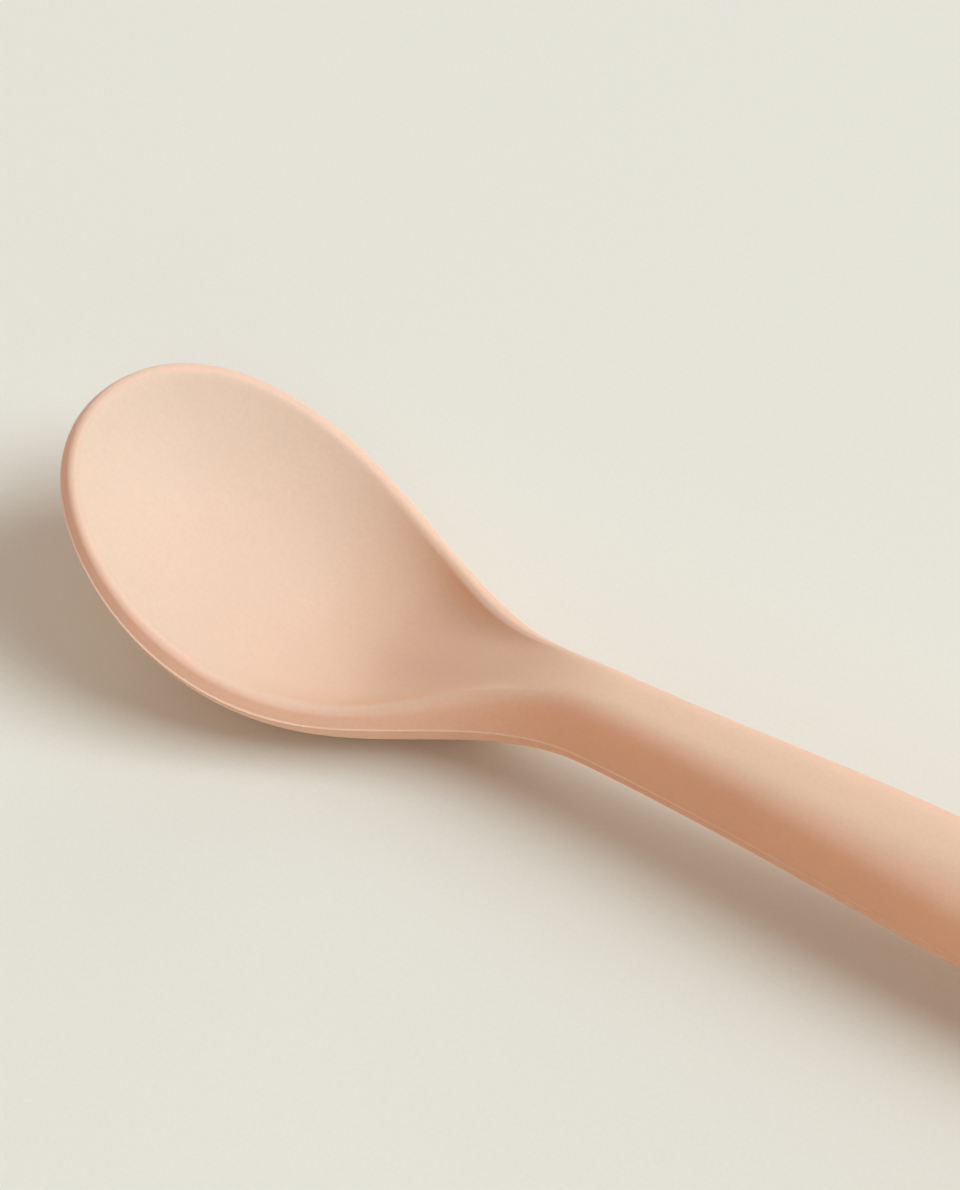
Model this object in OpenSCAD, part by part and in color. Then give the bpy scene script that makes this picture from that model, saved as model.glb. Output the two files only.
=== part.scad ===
// Baby spoon: a stiff core sealed between two silicone skins that are bonded along one seam.
// The seam runs round the whole outline. X runs along the spoon from the tip of the bowl,
// Y across it and Z up from the table that it lies on. Millimetres.

/* [Plan outline] */
// Whole length, from the tip of the bowl to the end of the handle
total_len = 145; // [130:1:165]
// Width of the bowl at its widest place
bowl_w = 32; // [27:0.5:37]
// Distance from the tip to the widest place of the bowl
bowl_nose = 18; // [15:0.5:22]
// Distance from the tip to the narrowest place of the neck
neck_x = 56; // [50:0.5:62]
// Width of the neck at its narrowest place
neck_w = 9; // [8:0.1:11]
// Distance from the tip to where the grip has its full size
grip_x = 105; // [90:1:115]
// Width of the grip
grip_w = 12.4; // [11:0.1:16]
// Length of the rounded end of the handle
end_len = 7; // [5:0.5:9]

/* [Side profile] */
// Height of the seam above the table at the tip of the bowl
tip_h = 20.2; // [15:0.1:26]
// Tilt of the seam at the tip, in degrees
tip_tilt = 21; // [12:0.5:28]
// Distance from the tip to the heel, where the seam is lowest and the bowl rests
heel_x = 33; // [29:0.5:37]
// Height of the seam above the table at the heel
heel_h = 6; // [5:0.1:8]
// Distance from the tip to where the handle levels out
crown_x = 58; // [52:0.5:66]
// Height of the seam above the table where the handle levels out
crown_h = 9.8; // [8:0.1:12]
// Rise of the handle where it levels out, in degrees
crown_tilt = 1; // [0:0.5:3]
// Fall of the handle at its end, in degrees
end_tilt = 14; // [8:0.5:18]
// Depth of the two small flats that the spoon rests on, cut off its round underside
rest_cut = 0.3; // [0.2:0.05:0.5]

/* [Bowl] */
// Steepness of the rim's outer flank, in degrees
rim_flank = 62; // [55:1:70]
// Length of the straight flank, from the seam up to the rounded crest
rim_side = 0.85; // [0.6:0.05:1.2]
// Radius of the rim's rounded crest
rim_r = 1.5; // [1.2:0.1:1.8]
// Depth of the underside below the seam at the front of the bowl
nose_under = 7; // [6:0.1:8.5]
// Thickness of the bowl's floor, core included
floor_t = 3; // [2.6:0.1:3.4]
// Distance from the tip to where the middle of the floor starts to rise to the handle
ramp_x = 24; // [20:0.5:28]
// Distance from the tip to where that rise ends on top of the handle
ramp_end = 59; // [56:0.5:64]

/* [Handle] */
// Width of the flat top at the neck
neck_top_w = 5.7; // [4.5:0.1:7]
// Height of the top above the seam at the neck
neck_top_h = 5.6; // [4.6:0.1:6.6]
// Depth of the underside below the seam at the neck
neck_under = 4; // [3.4:0.1:5]
// Squareness of the top's ridges at the neck: 2 is round
neck_square = 4; // [2.5:0.1:6]
// Width of the top of the grip
grip_top_w = 12; // [10:0.1:12.4]
// Height of the top above the seam at the grip
grip_top_h = 6.7; // [5.6:0.1:8]
// Depth of the underside below the seam at the grip
grip_under = 5.2; // [4.4:0.1:6]

/* [Core] */
// Width of soft silicone round the core in the bowl
core_cover_bowl = 6; // [5:0.1:7.5]
// Width of silicone beside the core in the handle
core_cover_handle = 2; // [1.6:0.1:2.4]
// Thickness of the core in the bowl
core_t_bowl = 1; // [0.8:0.1:1.2]
// Thickness of the core in the handle
core_t_handle = 4.4; // [3.4:0.1:5]
// Diameter of the holes through which the two skins join
hole_d = 2.8; // [2.2:0.1:3.2]
// Distance from the tip to the first hole in the bowl
bowl_hole_x = 17; // [15:0.5:19]
// Distance between the holes in the bowl
bowl_hole_pitch = 7; // [5:0.5:8]
// Number of holes in the bowl
bowl_holes = 3; // [1:1:3]
// Distance from the tip to the first hole in the handle
handle_hole_x = 70; // [66:1:74]
// Distance between the holes in the handle
handle_hole_pitch = 14; // [10:1:16]
// Number of holes in the handle
handle_holes = 4; // [2:1:4]

/* [Hidden] */
silicone = "#E3B798";
nylon = "#EDE6D6";

// Where the ribs that fan round the tip and the end of the handle start, and how far the fans reach
nose_foot = 2 / 3 * bowl_nose;
nose_fan = 5 / 2 * nose_foot;
end_foot = 0.8 * end_len;
end_fan = 5 / 2 * end_foot;
// Seam height at the end of the handle, for which the underside comes down to the table
end_h = grip_under - end_foot * tan(end_tilt) - rest_cut / 2;
// Depth of the underside at the heel, which the table cuts
heel_under = heel_h + rest_cut;
// Roundness of the core's edges: 2 is an ellipse
core_square = 3;
// Share of the floor's rise that is eased at each end
ramp_ease = 0.28;
// Steps of the surfaces along the spoon and from the seam to the middle
nose_steps = 10;
body_steps = 36;
end_steps = 6;
edge_steps = 5;
lip_steps = 2;
top_steps = 9;
under_steps = 9;
core_steps = 4;
$fn = 32;

// Side profile: each knot has its distance from the tip, its height and its slope
tip_knot = [0, tip_h, -tan(tip_tilt)];
heel_knot = [heel_x, heel_h, 0];
crown_knot = [crown_x, crown_h, tan(crown_tilt)];
end_knot = [total_len, end_h, -tan(end_tilt)];

function clamped(t) = min(max(t, 0), 1);
function smooth(t) = let (c = clamped(t)) c * c * (3 - 2 * c);
function mix(a, b, t) = a + (b - a) * t;
function hermite(x, a, b) =
    let (span = b[0] - a[0], u = (x - a[0]) / span, step = u * u * (3 - 2 * u))
    mix(a[1], b[1], step) + span * u * (1 - u) * ((1 - u) * a[2] - u * b[2]);

// Shares of the way from the heel to the neck and from the neck to the grip
function neck_share(x) = smooth((x - heel_x) / (neck_x - heel_x));
function grip_share(x) = smooth((x - neck_x) / (grip_x - neck_x));
// The same along the middle of the top, where the rise is longer and even, with eased ends
function ramp_share(x) =
    let (t = clamped((x - ramp_x) / (ramp_end - ramp_x)), bend = 2 * ramp_ease * (1 - ramp_ease))
    t < ramp_ease ? t * t / bend :
    t > 1 - ramp_ease ? 1 - pow(1 - t, 2) / bend : (t - ramp_ease / 2) / (1 - ramp_ease);

function seam_z(x) =
    x < heel_x ? hermite(x, tip_knot, heel_knot) :
    x < crown_x ? hermite(x, heel_knot, crown_knot) : hermite(x, crown_knot, end_knot);

// Half the width: half an ellipse at the nose, a cosine sweep to the neck, a swell to the grip
function nose_half_w(x) = bowl_w / 2 * sqrt(max(1 - pow(1 - x / bowl_nose, 2), 0));
function body_half_w(x) =
    let (sweep = (1 + cos(180 * clamped((x - bowl_nose) / (neck_x - bowl_nose)))) / 2)
    mix(mix(neck_w, bowl_w, sweep), grip_w + (bowl_w - neck_w) * sweep, grip_share(x)) / 2;
function end_round(x) = sqrt(max(1 - pow(max(1 - (total_len - x) / end_len, 0), 2), 0));
function half_w(x) = x < bowl_nose ? nose_half_w(x) : body_half_w(x) * end_round(x);

// Where on the middle line the rib that ends at outline place x starts
function fan(x, start, reach) = x < reach ? x + start * pow(1 - x / reach, 2) : x;
function foot(x) =
    x < total_len / 2 ? fan(x, nose_foot, nose_fan) : total_len - fan(total_len - x, end_foot, end_fan);
function rib_len(x) = norm([x - foot(x), half_w(x)]);

// Depth of the underside's middle line below the seam, and height of the floor's above it
function under(x) =
    mix(mix(mix(nose_under, heel_under, smooth(x / heel_x)), neck_under, neck_share(x)), grip_under,
        grip_share(x));
function floor_h(x) = floor_t - under(x);
function top_h(x) = mix(neck_top_h, grip_top_h, grip_share(x));

// Rounded crest of the rim by the tilt of its surface: distance in from the outline, height over the seam
function crest(tilt) = [
    rim_side * cos(rim_flank) + rim_r * (sin(rim_flank) - sin(tilt)),
    rim_side * sin(rim_flank) + rim_r * (cos(tilt) - cos(rim_flank))
];
// Tilt at which the crest runs on into the dish, a parabola that is lowest on the middle line
function lip_tilt(r, low, tilt = 40, tries = 8) =
    let (p = crest(-tilt), next = atan(2 * (p[1] - low) / (r - p[0])))
    tries == 0 ? tilt : lip_tilt(r, low, next, tries - 1);

// Bowl side of a rib's top: straight flank, crest, lip, dish. Each point is its share of the rib and height
function bowl_point(x, j) =
    let (r = rib_len(x), low = floor_h(foot(x)), inner = -lip_tilt(r, low),
        tilt = j <= edge_steps ? rim_flank * (edge_steps - j) / (edge_steps - 1) :
            inner * min((j - edge_steps) / lip_steps, 1),
        p = j == 0 ? [0, 0] : crest(tilt),
        v = max(j - edge_steps - lip_steps, 0) / (top_steps - lip_steps))
    [1 - mix(p[0], r, v) / r, low + (p[1] - low) * pow(1 - v, 2)];

// Handle side of a rib's top: a tapered dome with a ridge, square at the neck and round at the grip
function handle_point(x, j) =
    let (f = foot(x),
        t = j <= edge_steps ? 45 * j / edge_steps : 45 + 45 * (j - edge_steps) / top_steps,
        power = 2 / mix(neck_square, 2, grip_share(f)),
        across = j == edge_steps + top_steps ? 0 : pow(cos(t), power),
        up = pow(sin(t), power),
        taper = mix(neck_top_w, grip_top_w, grip_share(f)) / mix(neck_w, grip_w, grip_share(f)))
    [across * mix(1, taper, up), top_h(f) * up];

function top_point(x, j) =
    let (b = bowl_point(x, j), h = handle_point(x, j), n = neck_share(foot(x)),
        rise = mix(n, ramp_share(foot(x)), smooth((j - edge_steps) / top_steps)))
    [mix(b[0], h[0], n), mix(b[1], h[1], rise)];
function under_point(x, j) =
    let (t = 90 * j / under_steps) [j == under_steps ? 0 : cos(t), -under(foot(x)) * sin(t)];

// The core lies midway between top and underside: a dished plate in the bowl, a bar in the handle
function core_share(x) =
    1 - mix(core_cover_bowl, core_cover_handle, neck_share(foot(x))) / rib_len(x);
function core_mid(x, share) =
    let (f = foot(x), r = rib_len(x), edge = core_share(x), low = floor_h(f),
        p = crest(-lip_tilt(r, low)),
        v = clamped((core_cover_bowl - p[0]) / (r - p[0])),
        dished = (low + (p[1] - low) * pow(1 - v, 2) - under(f) * sqrt(max(1 - edge * edge, 0))) / 2,
        level = (top_h(f) - under(f)) / 2,
        middle = (mix(low, top_h(f), ramp_share(f)) - under(f)) / 2)
    mix(middle, mix(dished, level, neck_share(f)), pow(share / edge, 2));
function core_point(x, k, face) =
    let (t = 90 * k / core_steps,
        share = k == core_steps ? 0 : core_share(x) * pow(cos(t), 2 / core_square),
        half_t = mix(core_t_bowl, core_t_handle, neck_share(foot(x))) / 2)
    [share, core_mid(x, share) + face * half_t * pow(sin(t), 2 / core_square)];

// A rib's point in space, from its share of the rib and its height over the seam
function placed(x, p) =
    let (along = mix(foot(x), x, p[0])) [along, half_w(x) * p[0], seam_z(along) + p[1]];

// Outline places that carry a rib, from the tip to the end of the handle
stations = [
    for (i = [0 : nose_steps]) bowl_nose * (1 - cos(90 * i / nose_steps)),
    for (i = [1 : body_steps]) mix(bowl_nose, total_len - end_len, i / body_steps),
    for (i = [1 : end_steps]) total_len - end_len * (1 - sin(90 * i / end_steps))
];
top_sheet = [for (x = stations) [for (j = [0 : edge_steps + top_steps]) placed(x, top_point(x, j))]];
under_sheet = [for (x = stations) [for (j = [0 : under_steps]) placed(x, under_point(x, j))]];
core_top_sheet = [for (x = stations) [for (k = [0 : core_steps]) placed(x, core_point(x, k, 1))]];
core_under_sheet = [for (x = stations) [for (k = [0 : core_steps]) placed(x, core_point(x, k, -1))]];

// The face of a skin that meets the other skin from the seam to the core, and then the core itself
function inner_sheet(core_sheet) =
    [for (i = [0 : len(stations) - 1]) concat([top_sheet[i][0]], core_sheet[i])];

// Point numbers of a sheet: both halves share the middle line and the two end ribs
function number(sheet_cols, first, half, i, j) =
    let (last = len(stations) - 1, far = (i == 0 || i == last || j == sheet_cols - 1) ? 0 : half)
    first + (far * (last + 1) + i) * sheet_cols + j;

// Closed solid between two sheets that share their first column, the seam
module between(upper, lower) {
    rows = len(stations);
    a_cols = len(upper[0]);
    b_cols = len(lower[0]);
    b_first = 2 * rows * a_cols;
    points = [
        for (sheet = [upper, lower], half = [1, -1], row = sheet, p = row)
            [p[0] - total_len / 2, half * p[1], p[2]]
    ];
    function a(half, i, j) = number(a_cols, 0, half, i, j);
    function b(half, i, j) = j == 0 ? a(half, i, 0) : number(b_cols, b_first, half, i, j);
    // The diagonals lean so that no triangle has all its corners on points that both halves share
    function cell(p, q, r, s, flip, front) =
        let (pair = front ? [[p, q, s], [q, r, s]] : [[p, q, r], [p, r, s]])
        [for (t = pair) flip ? [t[0], t[2], t[1]] : t];
    faces = [
        for (half = [0, 1], i = [0 : rows - 2]) let (k = i + 1, front = i < rows / 2) each concat(
            [for (j = [0 : a_cols - 2]) each cell(a(half, i, j), a(half, k, j), a(half, k, j + 1),
                a(half, i, j + 1), half == 1, front)],
            [for (j = [0 : b_cols - 2]) each cell(b(half, i, j), b(half, k, j), b(half, k, j + 1),
                b(half, i, j + 1), half == 0, front)])
    ];
    polyhedron(points, faces);
}

module core_blank() {
    between(core_top_sheet, core_under_sheet);
}

// Upright rods where the core has its holes
module rods() {
    places = concat([for (i = [0 : bowl_holes - 1]) bowl_hole_x + i * bowl_hole_pitch],
        [for (i = [0 : handle_holes - 1]) handle_hole_x + i * handle_hole_pitch]);
    for (x = places)
        translate([x - total_len / 2, 0, 0]) cylinder(d = hole_d, h = tip_h + crown_h);
}

module table() {
    translate([-total_len, -bowl_w, -bowl_w]) cube([2 * total_len, 2 * bowl_w, bowl_w]);
}

// Upper silicone moulding, with the pegs that run through the core's holes
module upper_skin() {
    color(silicone) union() {
        between(top_sheet, inner_sheet(core_top_sheet));
        intersection() {
            core_blank();
            rods();
        }
    }
}

// Lower silicone moulding, flat where it rests on the table
module lower_skin() {
    color(silicone) difference() {
        between(inner_sheet(core_under_sheet), under_sheet);
        table();
    }
}

// Stiff core, sealed inside
module stiff_core() {
    color(nylon) difference() {
        core_blank();
        rods();
    }
}

upper_skin();
lower_skin();
stiff_core();
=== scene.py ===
# Looks of the baby spoon: two silicone skins that meet in a raised seam, over the stiff core of the model.
import math

import bmesh
import bpy
import numpy as np
from mathutils import Matrix, Vector


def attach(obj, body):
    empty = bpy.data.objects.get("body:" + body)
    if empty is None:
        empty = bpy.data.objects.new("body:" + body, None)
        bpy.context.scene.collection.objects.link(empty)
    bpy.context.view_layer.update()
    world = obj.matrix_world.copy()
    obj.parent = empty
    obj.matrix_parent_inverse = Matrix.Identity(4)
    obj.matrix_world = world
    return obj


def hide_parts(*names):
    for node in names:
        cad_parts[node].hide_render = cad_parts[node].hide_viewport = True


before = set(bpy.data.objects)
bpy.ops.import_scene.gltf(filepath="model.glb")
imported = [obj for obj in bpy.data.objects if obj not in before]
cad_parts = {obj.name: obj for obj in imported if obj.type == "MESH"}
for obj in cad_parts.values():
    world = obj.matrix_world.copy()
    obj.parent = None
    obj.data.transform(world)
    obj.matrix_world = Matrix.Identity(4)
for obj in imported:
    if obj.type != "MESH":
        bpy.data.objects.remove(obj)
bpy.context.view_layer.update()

# Sizes of the spoon in millimetres and degrees, as in the model but for a tighter rim
TOTAL_LEN = 145.0
BOWL_W = 32.0
BOWL_NOSE = 18.0
NECK_X = 56.0
NECK_W = 9.0
GRIP_X = 105.0
GRIP_W = 12.4
END_LEN = 7.0
TIP_H = 20.2
TIP_TILT = 21.0
HEEL_X = 33.0
HEEL_H = 6.0
CROWN_X = 58.0
CROWN_H = 9.8
CROWN_TILT = 1.0
END_TILT = 14.0
REST_CUT = 0.3
RIM_FLANK = 62.0
RIM_SIDE = 1.2
RIM_R = 0.9
NOSE_UNDER = 7.0
FLOOR_T = 3.0
RAMP_X = 24.0
RAMP_END = 59.0
NECK_TOP_W = 5.7
NECK_TOP_H = 5.6
NECK_UNDER = 4.0
NECK_SQUARE = 4.0
GRIP_TOP_W = 12.0
GRIP_TOP_H = 6.7
GRIP_UNDER = 5.2

# The seam stands a little proud of both skins, and a painted highlight runs along it as a paler line of
# colour, somewhat wider
BEAD_OUT = 0.12
BEAD_HALF = 0.06
SEAM_HIGHLIGHT_HALF = 1.5 * BEAD_HALF

# Where the painted shade in the deep heel of the bowl begins
HEEL_SHADE_X = 20.0

# Where the ribs that fan round the tip and the end of the handle start, and how far the fans reach
NOSE_FOOT = 2 / 3 * BOWL_NOSE
NOSE_FAN = 5 / 2 * NOSE_FOOT
END_FOOT = 0.8 * END_LEN
END_FAN = 5 / 2 * END_FOOT

# Height of the seam at the end of the handle, and depth of the underside below the seam at the heel
END_H = GRIP_UNDER - END_FOOT * math.tan(math.radians(END_TILT)) - REST_CUT / 2
HEEL_UNDER = HEEL_H + REST_CUT

# Shares: the eased ends of the ramp, and the flank and the lip in the top of a rib of the bowl
RAMP_EASE = 0.28
SIDE_PART = 0.2
LIP_PART = 2 / 9

# Steps of the meshes: millimetres from the seam, ribs along the spoon, (end, steps) of each stretch of a rib
SEAM_ROWS = np.array([0.0, 0.02, 0.04, 0.06, 0.08, 0.1, 0.12, 0.15, 0.18, 0.22, 0.27, 0.35, 0.5])
NOSE_RIBS = 40
BODY_RIBS = 190
END_RIBS = 20
TOP_STRETCHES = [(1.0, 22), (2.0, 44)]
UNDER_STRETCHES = [(1.0, 40)]

# Points at which a rib is measured, and the first guess in degrees and the rounds for the tilt of the lip
RIB_SAMPLES = 3001
LIP_GUESS = 40.0
LIP_ROUNDS = 8

# Distance within which points are welded, in metres
WELD_DIST = 1e-7
MM_PER_M = 1000.0

# Camera, from the photograph: degrees, millimetres from the tip of the bowl, pixels of the picture
CAM_DOWN = 52.637
CAM_TURN = 31.242
CAM_DIST = 324.721
CAM_AIM = (35.54, 12.976, 0.0)
FOCAL_PX = 3300.0
IMAGE_W_PX = 960.0

# Width of the camera's sensor in millimetres
SENSOR_W = 36.0

# Half the floor, the nearest that the camera sees, and the distance of the soft boxes, in metres
FLOOR_REACH = 1.5
CLIP_START = 0.01
LIGHT_DIST = 8.0

# Fill light: its colour, and its strength from the horizon and from overhead
FILL_COLOR = (0.415, 0.305, 0.29)
FILL_LOW = 0.6
FILL_HIGH = 1.2

# Soft boxes: degrees turned from the right of the picture, degrees up, size over distance,
# and the light that reaches the floor
SOFT_BOXES = {
    "key": (-7.0, 46.0, 0.63, (0.555, 0.65, 0.705)),
    "side": (140.0, 35.0, 0.85, (0.035, 0.035, 0.02)),
    "front": (-85.0, 40.0, 0.65, (0.02, 0.045, 0.035)),
    "rear": (80.0, 25.0, 0.55, (0.05, 0.06, 0.06)),
}

# Colours of the floor and of the core, and white, from which the silicone's speckle is made
FLOOR_COLOR = (0.783, 0.768, 0.680)
NYLON_DARK = (0.80, 0.75, 0.65)
NYLON_LIGHT = (0.86, 0.81, 0.71)
WHITE = (1.0, 1.0, 1.0)

# Tones of the silicone by the height of a face's normal, which paint light and shade into the colour: sides
# that turn from the lamps painted deeper, faces that look up painted paler as if lit; the rim's, then those
# laid over them one by one
RIM_LIGHT_AND_SHADE_TONES = [(0.10, (0.95, 0.57, 0.40)), (0.42, (0.915, 0.528, 0.363)),
             (0.72, (0.87, 0.54, 0.385)), (1.00, (0.755, 0.515, 0.375))]
OVER_LIGHT_AND_SHADE_TONES = {
    "handle": [(0.40, (0.90, 0.456, 0.27)), (0.72, (0.885, 0.53, 0.365)), (1.00, (0.767, 0.521, 0.366))],
    "dish": [(0.60, (0.755, 0.55, 0.413)), (1.00, (0.727, 0.495, 0.358))],
    # painted shade: deeper, more saturated tones towards the heel, deep in the bowl
    "heel": [(0.62, (0.80, 0.455, 0.28)), (0.88, (0.742, 0.495, 0.355)), (1.00, (0.728, 0.49, 0.352))],
    # painted highlight: a paler line along the seam, as if it caught the light
    "bowl_seam_highlight": [(0.00, (0.94, 0.58, 0.39)), (1.00, (0.95, 0.62, 0.43))],
    "handle_seam_highlight": [(0.00, (0.97, 0.52, 0.32)), (1.00, (0.97, 0.55, 0.35))],
}

# Most values of a noise lie between these two
NOISE_LOW = 0.3
NOISE_HIGH = 0.7

# Places of the colour sockets on a mix node
COLOR_A = 6
COLOR_B = 7
COLOR_OUT = 2


# Shape rules
def mix(a, b, t):
    return a + (b - a) * t


def smooth(t):
    c = np.clip(t, 0.0, 1.0)
    return c * c * (3.0 - 2.0 * c)


# Curve between two points, each given by its place, its height and its slope
def hermite(x, a, b):
    span = b[0] - a[0]
    u = (x - a[0]) / span
    bend = (1.0 - u) * a[2] - u * b[2]
    return mix(a[1], b[1], u * u * (3.0 - 2.0 * u)) + span * u * (1.0 - u) * bend


def slope(degrees):
    return math.tan(math.radians(degrees))


def seam_z(x):
    tip = (0.0, TIP_H, -slope(TIP_TILT))
    heel = (HEEL_X, HEEL_H, 0.0)
    crown = (CROWN_X, CROWN_H, slope(CROWN_TILT))
    end = (TOTAL_LEN, END_H, -slope(END_TILT))
    rear = np.where(x < CROWN_X, hermite(x, heel, crown), hermite(x, crown, end))
    return np.where(x < HEEL_X, hermite(x, tip, heel), rear)


def neck_share(x):
    return smooth((x - HEEL_X) / (NECK_X - HEEL_X))


def grip_share(x):
    return smooth((x - NECK_X) / (GRIP_X - NECK_X))


# Share of the way up the ramp from the bowl's floor to the top of the handle: even, with eased ends
def ramp_share(x):
    t = np.clip((x - RAMP_X) / (RAMP_END - RAMP_X), 0.0, 1.0)
    bend = 2.0 * RAMP_EASE * (1.0 - RAMP_EASE)
    even = (t - RAMP_EASE / 2) / (1.0 - RAMP_EASE)
    late = np.where(t > 1.0 - RAMP_EASE, 1.0 - (1.0 - t) ** 2 / bend, even)
    return np.where(t < RAMP_EASE, t * t / bend, late)


def half_w(x):
    nose = BOWL_W / 2 * np.sqrt(np.maximum(1.0 - (1.0 - x / BOWL_NOSE) ** 2, 0.0))
    sweep = (1.0 + np.cos(np.pi * np.clip((x - BOWL_NOSE) / (NECK_X - BOWL_NOSE), 0.0, 1.0))) / 2
    swell = GRIP_W + (BOWL_W - NECK_W) * sweep
    body = mix(mix(NECK_W, BOWL_W, sweep), swell, grip_share(x)) / 2
    past = np.maximum(1.0 - (TOTAL_LEN - x) / END_LEN, 0.0)
    return np.where(x < BOWL_NOSE, nose, body * np.sqrt(np.maximum(1.0 - past * past, 0.0)))


def fan(x, start, reach):
    return np.where(x < reach, x + start * (1.0 - x / reach) ** 2, x)


# Place on the middle line from which the rib to a place on the outline starts
def foot(x):
    front = fan(x, NOSE_FOOT, NOSE_FAN)
    rear = TOTAL_LEN - fan(TOTAL_LEN - x, END_FOOT, END_FAN)
    return np.where(x < TOTAL_LEN / 2, front, rear)


def rib_len(x):
    return np.hypot(x - foot(x), half_w(x))


def under(x):
    bowl = mix(NOSE_UNDER, HEEL_UNDER, smooth(x / HEEL_X))
    return mix(mix(bowl, NECK_UNDER, neck_share(x)), GRIP_UNDER, grip_share(x))


# Rounded crest of the rim, by the tilt of its surface:
# distance in from the outline, and height over the seam
def crest(tilt):
    flank = math.radians(RIM_FLANK)
    return (RIM_SIDE * math.cos(flank) + RIM_R * (math.sin(flank) - np.sin(tilt)),
            RIM_SIDE * math.sin(flank) + RIM_R * (np.cos(tilt) - math.cos(flank)))


# Tilt at which the crest runs on into the dish, a parabola with its lowest point on the middle line
def lip_tilt(r, floor_h):
    tilt = np.radians(LIP_GUESS)
    for step in range(LIP_ROUNDS):
        d, h = crest(-tilt)
        tilt = np.arctan(2.0 * (h - floor_h) / (r - d))
    return tilt


# Top of the bowl, u as below: straight flank, crest, lip and dish
def bowl_profile(u, r, floor_h):
    outer = math.radians(RIM_FLANK) * (1.0 - np.clip((u - SIDE_PART) / (1.0 - SIDE_PART), 0.0, 1.0))
    inner = -lip_tilt(r, floor_h) * np.clip((u - 1.0) / LIP_PART, 0.0, 1.0)
    d, h = crest(np.where(u < 1.0, outer, inner))
    side = np.clip(u / SIDE_PART, 0.0, 1.0)
    v = np.clip((u - 1.0 - LIP_PART) / (1.0 - LIP_PART), 0.0, 1.0)
    return 1.0 - mix(d * side, r, v) / r, floor_h + (h * side - floor_h) * (1.0 - v) ** 2


# Top of a rib: u runs from 0 at the seam over 1 at the crest or ridge to 2 at the middle line
def top_profile(x, u):
    f = foot(x)
    g = grip_share(f)
    bowl_share, bowl_h = bowl_profile(u, rib_len(x), FLOOR_T - under(f))
    power = 2.0 / mix(NECK_SQUARE, 2.0, g)
    across = np.where(u >= 2.0, 0.0, np.abs(np.cos(np.pi / 4 * u)) ** power)
    up = np.sin(np.pi / 4 * u) ** power
    taper = mix(NECK_TOP_W, GRIP_TOP_W, g) / mix(NECK_W, GRIP_W, g)
    handle_share = across * mix(1.0, taper, up)
    handle_h = mix(NECK_TOP_H, GRIP_TOP_H, g) * up
    m = neck_share(f)
    rise = mix(m, ramp_share(f), smooth(u - 1.0))
    return mix(bowl_share, handle_share, m), mix(bowl_h, handle_h, rise)


# Underside of a rib: u runs from 0 at the seam to 1 at the middle line
def under_profile(x, u):
    turn = np.pi / 2 * u
    return np.where(u >= 1.0, 0.0, np.cos(turn)), -under(foot(x)) * np.sin(turn)


# Places along the outline that carry a rib
def rib_places():
    nose = BOWL_NOSE * (1.0 - np.cos(np.linspace(0.0, np.pi / 2, NOSE_RIBS + 1)))
    body = np.linspace(BOWL_NOSE, TOTAL_LEN - END_LEN, BODY_RIBS + 1)[1:]
    end = TOTAL_LEN - END_LEN * (1.0 - np.sin(np.linspace(0.0, np.pi / 2, END_RIBS + 1)[1:]))
    return np.concatenate([nose, body, end])


# One rib as points: close together at the seam, for its bead,
# then in even steps along each stretch of the profile
def rib_points(x, profile, stretches):
    last = stretches[-1][0]
    fine = last * np.linspace(0.0, 1.0, RIB_SAMPLES) ** 2
    share, h = profile(np.full_like(fine, x), fine)
    r = rib_len(x)
    way = np.concatenate([[0.0], np.cumsum(np.hypot(np.diff(share) * r, np.diff(h)))])
    picks = [SEAM_ROWS]
    begin = SEAM_ROWS[-1]
    for stop_u, steps in stretches:
        stop = np.interp(stop_u, fine, way)
        picks.append(np.linspace(begin, stop, steps + 1)[1:])
        begin = stop
    from_seam = np.concatenate(picks)
    u = np.interp(from_seam, way, fine)
    u[-1] = last
    share, h = profile(np.full_like(u, x), u)
    z = np.maximum(seam_z(mix(foot(x), x, share)) + h, 0.0)
    out = share + BEAD_OUT * np.exp(-(from_seam / BEAD_HALF) ** 2) / r
    return np.stack([mix(foot(x), x, out), half_w(x) * out, z], axis=1)


# Share of each tone on the points of a skin: the dish lies inside the crest, so the lower skin has none,
# and painted shade deepens it towards the heel
def tone_weights(places, stretches, cols):
    neck = neck_share(places[:, None])
    heel_shade = smooth((places[:, None] - HEEL_SHADE_X) / (HEEL_X - HEEL_SHADE_X))
    crest_col = len(SEAM_ROWS) + stretches[0][1] - 1
    inside = (np.arange(cols) > crest_col) * 1.0
    # painted highlight along the seam, fading away from it
    seam_highlight = np.zeros(cols)
    seam_highlight[:len(SEAM_ROWS)] = np.exp(-(SEAM_ROWS / SEAM_HIGHLIGHT_HALF) ** 2)
    return {
        "handle": neck * np.ones(cols),
        "dish": (1.0 - neck) * inside,
        "heel": (1.0 - neck) * heel_shade * inside,
        "bowl_seam_highlight": (1.0 - neck) * seam_highlight,
        "handle_seam_highlight": neck * seam_highlight,
    }


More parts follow.
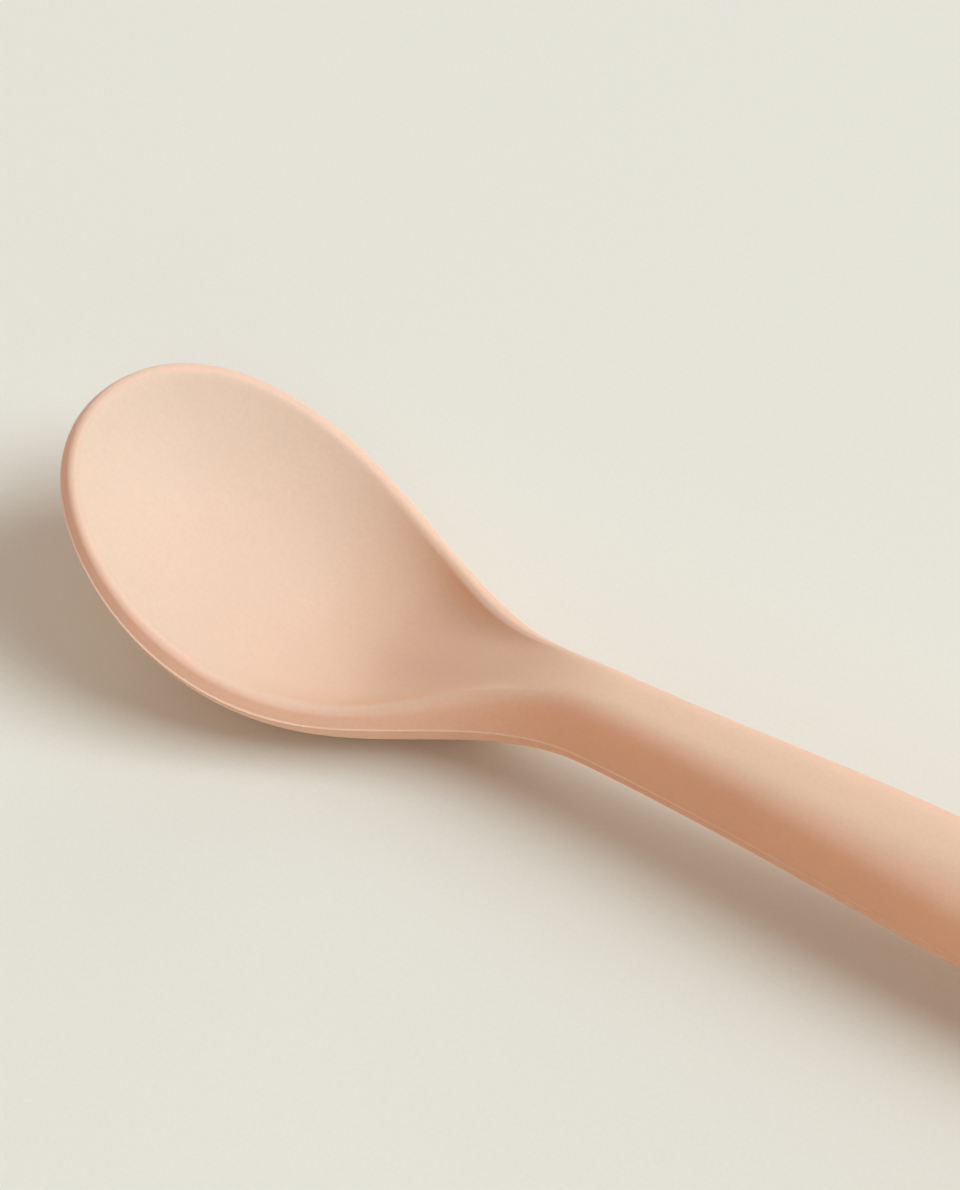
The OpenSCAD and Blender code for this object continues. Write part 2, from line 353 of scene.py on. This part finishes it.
# A skin's outer surface as one mesh: both halves, welded along the middle line and at the two ends
def skin(name, profile, stretches, face_up):
    places = rib_places()
    ribs = np.array([rib_points(x, profile, stretches) for x in places])
    rows, cols = ribs.shape[:2]
    mirrored = ribs[:, ::-1][:, 1:] * np.array([1.0, -1.0, 1.0])
    grid = np.concatenate([ribs, mirrored], axis=1)
    grid = (grid - np.array([TOTAL_LEN / 2, 0.0, 0.0])) / MM_PER_M
    width = 2 * cols - 1
    i, j = np.meshgrid(np.arange(rows - 1), np.arange(width - 1), indexing="ij")
    corner = (i * width + j).ravel()
    quads = np.stack([corner, corner + 1, corner + width + 1, corner + width], axis=1)
    if not face_up:
        quads = quads[:, ::-1]
    mesh = bpy.data.meshes.new(name)
    mesh.from_pydata(grid.reshape(-1, 3).tolist(), [], quads.tolist())
    for tone, weight in tone_weights(places, stretches, cols).items():
        both = np.concatenate([weight, weight[:, ::-1][:, 1:]], axis=1)
        mesh.attributes.new(tone, "FLOAT", "POINT").data.foreach_set("value", both.ravel())
    work = bmesh.new()
    work.from_mesh(mesh)
    bmesh.ops.remove_doubles(work, verts=work.verts, dist=WELD_DIST)
    work.to_mesh(mesh)
    work.free()
    mesh.polygons.foreach_set("use_smooth", [True] * len(mesh.polygons))
    piece = bpy.data.objects.new(name, mesh)
    bpy.context.scene.collection.objects.link(piece)
    return piece


# Materials
def new_material(name):
    material = bpy.data.materials.new(name)
    material.use_nodes = True
    nodes = material.node_tree.nodes
    return material, nodes, material.node_tree.links, nodes["Principled BSDF"]


def noise(nodes, links, coords, scale, detail, rough):
    node = nodes.new("ShaderNodeTexNoise")
    node.inputs["Scale"].default_value = scale
    node.inputs["Detail"].default_value = detail
    node.inputs["Roughness"].default_value = rough
    links.new(coords, node.inputs["Vector"])
    return node.outputs["Fac"]


def halfway(nodes, links, first, second):
    node = nodes.new("ShaderNodeMix")
    node.inputs["Factor"].default_value = 0.5
    links.new(first, node.inputs["A"])
    links.new(second, node.inputs["B"])
    return node.outputs["Result"]


def mixed(nodes, links, factor, first, second):
    node = nodes.new("ShaderNodeMix")
    node.data_type = "RGBA"
    links.new(factor, node.inputs["Factor"])
    links.new(first, node.inputs[COLOR_A])
    links.new(second, node.inputs[COLOR_B])
    return node.outputs[COLOR_OUT]


def tinted(nodes, links, first, second):
    node = nodes.new("ShaderNodeMix")
    node.data_type = "RGBA"
    node.blend_type = "MULTIPLY"
    node.inputs["Factor"].default_value = 1.0
    links.new(first, node.inputs[COLOR_A])
    links.new(second, node.inputs[COLOR_B])
    return node.outputs[COLOR_OUT]


def tones(nodes, links, factor, stops, change="EASE"):
    node = nodes.new("ShaderNodeValToRGB")
    ramp = node.color_ramp
    ramp.interpolation = change
    while len(ramp.elements) < len(stops):
        ramp.elements.new(1.0)
    for element, (position, tone) in zip(ramp.elements, stops):
        element.position = position
        element.color = (*tone, 1.0)
    links.new(factor, node.inputs["Fac"])
    return node.outputs["Color"]


def two_tone(nodes, links, factor, low, high):
    return tones(nodes, links, factor, [(NOISE_LOW, low), (NOISE_HIGH, high)], change="LINEAR")


# A colour made darker and lighter by the same share
def shades(color, share):
    return tuple((1.0 - share) * c for c in color), tuple((1.0 + share) * c for c in color)


def ranged(nodes, links, factor, low, high):
    node = nodes.new("ShaderNodeMapRange")
    node.inputs["From Min"].default_value = NOISE_LOW
    node.inputs["From Max"].default_value = NOISE_HIGH
    node.inputs["To Min"].default_value = low
    node.inputs["To Max"].default_value = high
    links.new(factor, node.inputs["Value"])
    return node.outputs["Result"]


def bumped(nodes, links, height, strength, distance, under_normal=None):
    node = nodes.new("ShaderNodeBump")
    node.inputs["Strength"].default_value = strength
    node.inputs["Distance"].default_value = distance
    links.new(height, node.inputs["Height"])
    if under_normal is not None:
        links.new(under_normal, node.inputs["Normal"])
    return node.outputs["Normal"]


# Matte silicone with light and shade painted into its colour: painted shade deepens its sides, a painted
# highlight flushes its shoulders, faces that look up are painted paler as if lit, and a painted highlight
# runs along the seam
def silicone_material():
    material, nodes, links, shader = new_material("silicone")
    place = nodes.new("ShaderNodeTexCoord")
    coords = place.outputs["Object"]
    cloud = noise(nodes, links, coords, scale=45.0, detail=3.0, rough=0.5)
    grain = noise(nodes, links, coords, scale=2600.0, detail=2.0, rough=0.6)
    # The height of the normal picks the tone: painted shade on the sides, painted light on what looks up
    facing = nodes.new("ShaderNodeSeparateXYZ")
    links.new(place.outputs["Normal"], facing.inputs["Vector"])
    tone = tones(nodes, links, facing.outputs["Z"], RIM_LIGHT_AND_SHADE_TONES)
    for name, stops in OVER_LIGHT_AND_SHADE_TONES.items():
        weight = nodes.new("ShaderNodeAttribute")
        weight.attribute_name = name
        over = tones(nodes, links, facing.outputs["Z"], stops)
        tone = mixed(nodes, links, weight.outputs["Fac"], tone, over)
    low, high = shades(WHITE, share=0.05)
    speckle = two_tone(nodes, links, halfway(nodes, links, cloud, grain), low, high)
    links.new(tinted(nodes, links, tone, speckle), shader.inputs["Base Color"])
    links.new(ranged(nodes, links, grain, low=0.50, high=0.60), shader.inputs["Roughness"])
    soft = bumped(nodes, links, cloud, strength=0.10, distance=0.0004)
    fine = bumped(nodes, links, grain, strength=0.10, distance=0.00006, under_normal=soft)
    links.new(fine, shader.inputs["Normal"])
    shader.subsurface_method = "BURLEY"
    shader.inputs["Subsurface Weight"].default_value = 0.35
    shader.inputs["Subsurface Radius"].default_value = (1.0, 0.42, 0.24)
    shader.inputs["Subsurface Scale"].default_value = 0.0016
    shader.inputs["Specular IOR Level"].default_value = 0.40
    return material


def nylon_material():
    material, nodes, links, shader = new_material("nylon")
    coords = nodes.new("ShaderNodeTexCoord").outputs["Object"]
    cloud = noise(nodes, links, coords, scale=60.0, detail=3.0, rough=0.5)
    grain = noise(nodes, links, coords, scale=1800.0, detail=2.0, rough=0.5)
    links.new(two_tone(nodes, links, cloud, NYLON_DARK, NYLON_LIGHT), shader.inputs["Base Color"])
    links.new(ranged(nodes, links, grain, low=0.42, high=0.55), shader.inputs["Roughness"])
    fine = bumped(nodes, links, grain, strength=0.10, distance=0.00005)
    links.new(fine, shader.inputs["Normal"])
    shader.inputs["Subsurface Weight"].default_value = 0.2
    shader.inputs["Subsurface Scale"].default_value = 0.001
    return material


def floor_material():
    material, nodes, links, shader = new_material("paper")
    coords = nodes.new("ShaderNodeTexCoord").outputs["Object"]
    fibre = noise(nodes, links, coords, scale=2600.0, detail=2.0, rough=0.6)
    low, high = shades(FLOOR_COLOR, share=0.015)
    links.new(two_tone(nodes, links, fibre, low, high), shader.inputs["Base Color"])
    shader.inputs["Roughness"].default_value = 0.95
    shader.inputs["Specular IOR Level"].default_value = 0.0
    return material


# The two skins and the core
silicone = silicone_material()
upper = skin("upper_skin_silicone", top_profile, TOP_STRETCHES, True)
lower = skin("lower_skin_silicone", under_profile, UNDER_STRETCHES, False)
for piece, node in ((upper, "upper_skin"), (lower, "lower_skin")):
    piece.data.materials.append(silicone)
    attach(piece, "root")
    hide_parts(node)
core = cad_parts["stiff_core"]
core.data.materials.clear()
core.data.materials.append(nylon_material())

# Floor
floor_mesh = bpy.data.meshes.new("floor")
floor_corners = [(x * FLOOR_REACH, y * FLOOR_REACH, 0.0) for x, y in ((-1, -1), (1, -1), (1, 1), (-1, 1))]
floor_mesh.from_pydata(floor_corners, [], [(0, 1, 2, 3)])
floor = bpy.data.objects.new("floor", floor_mesh)
floor.data.materials.append(floor_material())
bpy.context.scene.collection.objects.link(floor)

# Camera
turn = math.radians(CAM_TURN)
down = math.radians(CAM_DOWN)
right = Vector((math.cos(turn), math.sin(turn), 0.0))
ahead = Vector((-math.sin(turn), math.cos(turn), 0.0))
look = ahead * math.cos(down) - Vector((0.0, 0.0, math.sin(down)))
up = ahead * math.sin(down) + Vector((0.0, 0.0, math.cos(down)))
aim = (Vector(CAM_AIM) - Vector((TOTAL_LEN / 2, 0.0, 0.0))) / MM_PER_M
camera_data = bpy.data.cameras.new("camera")
camera_data.sensor_fit = "HORIZONTAL"
camera_data.sensor_width = SENSOR_W
camera_data.lens = SENSOR_W * FOCAL_PX / IMAGE_W_PX
camera_data.clip_start = CLIP_START
camera = bpy.data.objects.new("camera", camera_data)
camera_axes = Matrix((right, up, -look)).transposed().to_4x4()
camera.matrix_world = Matrix.Translation(aim - look * CAM_DIST / MM_PER_M) @ camera_axes
bpy.context.scene.collection.objects.link(camera)
bpy.context.scene.camera = camera

# Soft boxes round the spoon, each with the energy at which its colour is the light on the floor
for name, (box_turn, box_up, size, color) in SOFT_BOXES.items():
    side_way = math.radians(box_turn)
    rise = math.radians(box_up)
    to_box = (right * math.cos(side_way) + ahead * math.sin(side_way)) * math.cos(rise)
    to_box += Vector((0.0, 0.0, math.sin(rise)))
    light = bpy.data.lights.new(name, "AREA")
    light.shape = "SQUARE"
    light.size = size * LIGHT_DIST
    light.energy = math.pi ** 2 * LIGHT_DIST ** 2 / math.sin(rise)
    light.color = color
    box = bpy.data.objects.new(name, light)
    box_axes = to_box.to_track_quat("Z", "Y").to_matrix().to_4x4()
    box.matrix_world = Matrix.Translation(aim + to_box * LIGHT_DIST) @ box_axes
    bpy.context.scene.collection.objects.link(box)

# Fill light from all round, stronger from above, and a pale background past the floor
world = bpy.data.worlds.new("studio")
world.use_nodes = True
bpy.context.scene.world = world
sky_nodes = world.node_tree.nodes
sky_links = world.node_tree.links
sky = sky_nodes["Background"]
sky.inputs["Color"].default_value = (*FILL_COLOR, 1.0)
sky_way = sky_nodes.new("ShaderNodeTexCoord")
sky_parts = sky_nodes.new("ShaderNodeSeparateXYZ")
sky_level = sky_nodes.new("ShaderNodeMapRange")
sky_level.inputs["To Min"].default_value = FILL_LOW
sky_level.inputs["To Max"].default_value = FILL_HIGH
sky_links.new(sky_way.outputs["Generated"], sky_parts.inputs["Vector"])
sky_links.new(sky_parts.outputs["Z"], sky_level.inputs["Value"])
sky_links.new(sky_level.outputs["Result"], sky.inputs["Strength"])
pale = sky_nodes.new("ShaderNodeBackground")
pale.inputs["Color"].default_value = (*FLOOR_COLOR, 1.0)
rays = sky_nodes.new("ShaderNodeLightPath")
seen = rays.outputs["Is Camera Ray"]
for kind in ("Is Glossy Ray", "Is Transmission Ray"):
    either = sky_nodes.new("ShaderNodeMath")
    either.operation = "MAXIMUM"
    sky_links.new(seen, either.inputs[0])
    sky_links.new(rays.outputs[kind], either.inputs[1])
    seen = either.outputs["Value"]
backdrop = sky_nodes.new("ShaderNodeMixShader")
sky_links.new(seen, backdrop.inputs["Fac"])
sky_links.new(sky.outputs["Background"], backdrop.inputs[1])
sky_links.new(pale.outputs["Background"], backdrop.inputs[2])
sky_links.new(backdrop.outputs["Shader"], sky_nodes["World Output"].inputs["Surface"])
bpy.context.scene.view_settings.view_transform = "Standard"
